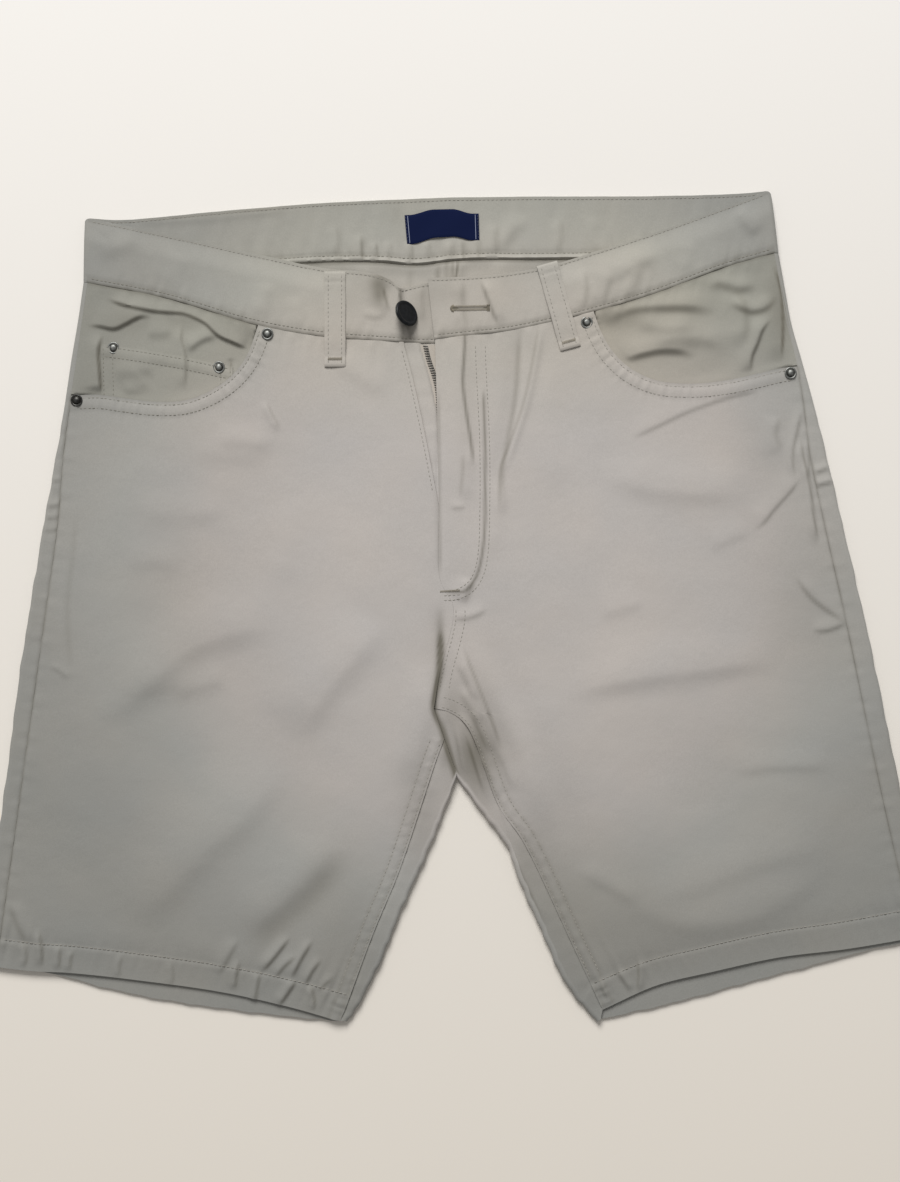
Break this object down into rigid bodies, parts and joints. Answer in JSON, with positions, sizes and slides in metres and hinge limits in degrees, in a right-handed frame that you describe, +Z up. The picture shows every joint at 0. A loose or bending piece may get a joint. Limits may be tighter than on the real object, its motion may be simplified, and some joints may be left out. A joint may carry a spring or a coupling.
{
  "type": "bermuda shorts laid flat",
  "caption": "Five-pocket bermuda shorts laid flat on their back, fly open at the waist, with folded leg sides and stitched hems.",
  "frame": {"origin": "on the surface that the shorts lie on, under the middle of their outline", "axes": "+Z up out of the surface, +Y towards the waistband, +X towards the wearer's left side"},
  "size_m": [0.6038, 0.5274, 0.0154],
  "materials": {
    "twill": "beige cotton twill, matt, soft hand, diagonal weave too fine to see from a step away",
    "zip_tape": "beige woven zip tape with dark metal teeth along its edge",
    "label_weave": "navy damask label with a thin pale line near each end, otherwise bare",
    "button_enamel": "near-black satin enamel on a metal shank button",
    "rivet_metal": "antique nickel, domed with a raised nipple"
  },
  "bodies": {
    "root": {"front_right": "twill", "front_left": "twill", "back_right": "twill", "back_left": "twill", "waistband": "twill", "pocket_facing_right": "twill", "pocket_facing_left": "twill", "coin_pocket": "twill", "fly_shield": "twill", "belt_loop_right": "twill", "belt_loop_left": "twill", "zip_tape_right": "zip_tape", "zip_tape_left": "zip_tape", "label": "label_weave", "button": "button_enamel", "rivet_1": "rivet_metal", "rivet_2": "rivet_metal", "rivet_3": "rivet_metal", "rivet_4": "rivet_metal", "rivet_5": "rivet_metal", "rivet_6": "rivet_metal"}
  },
  "joints": []
}
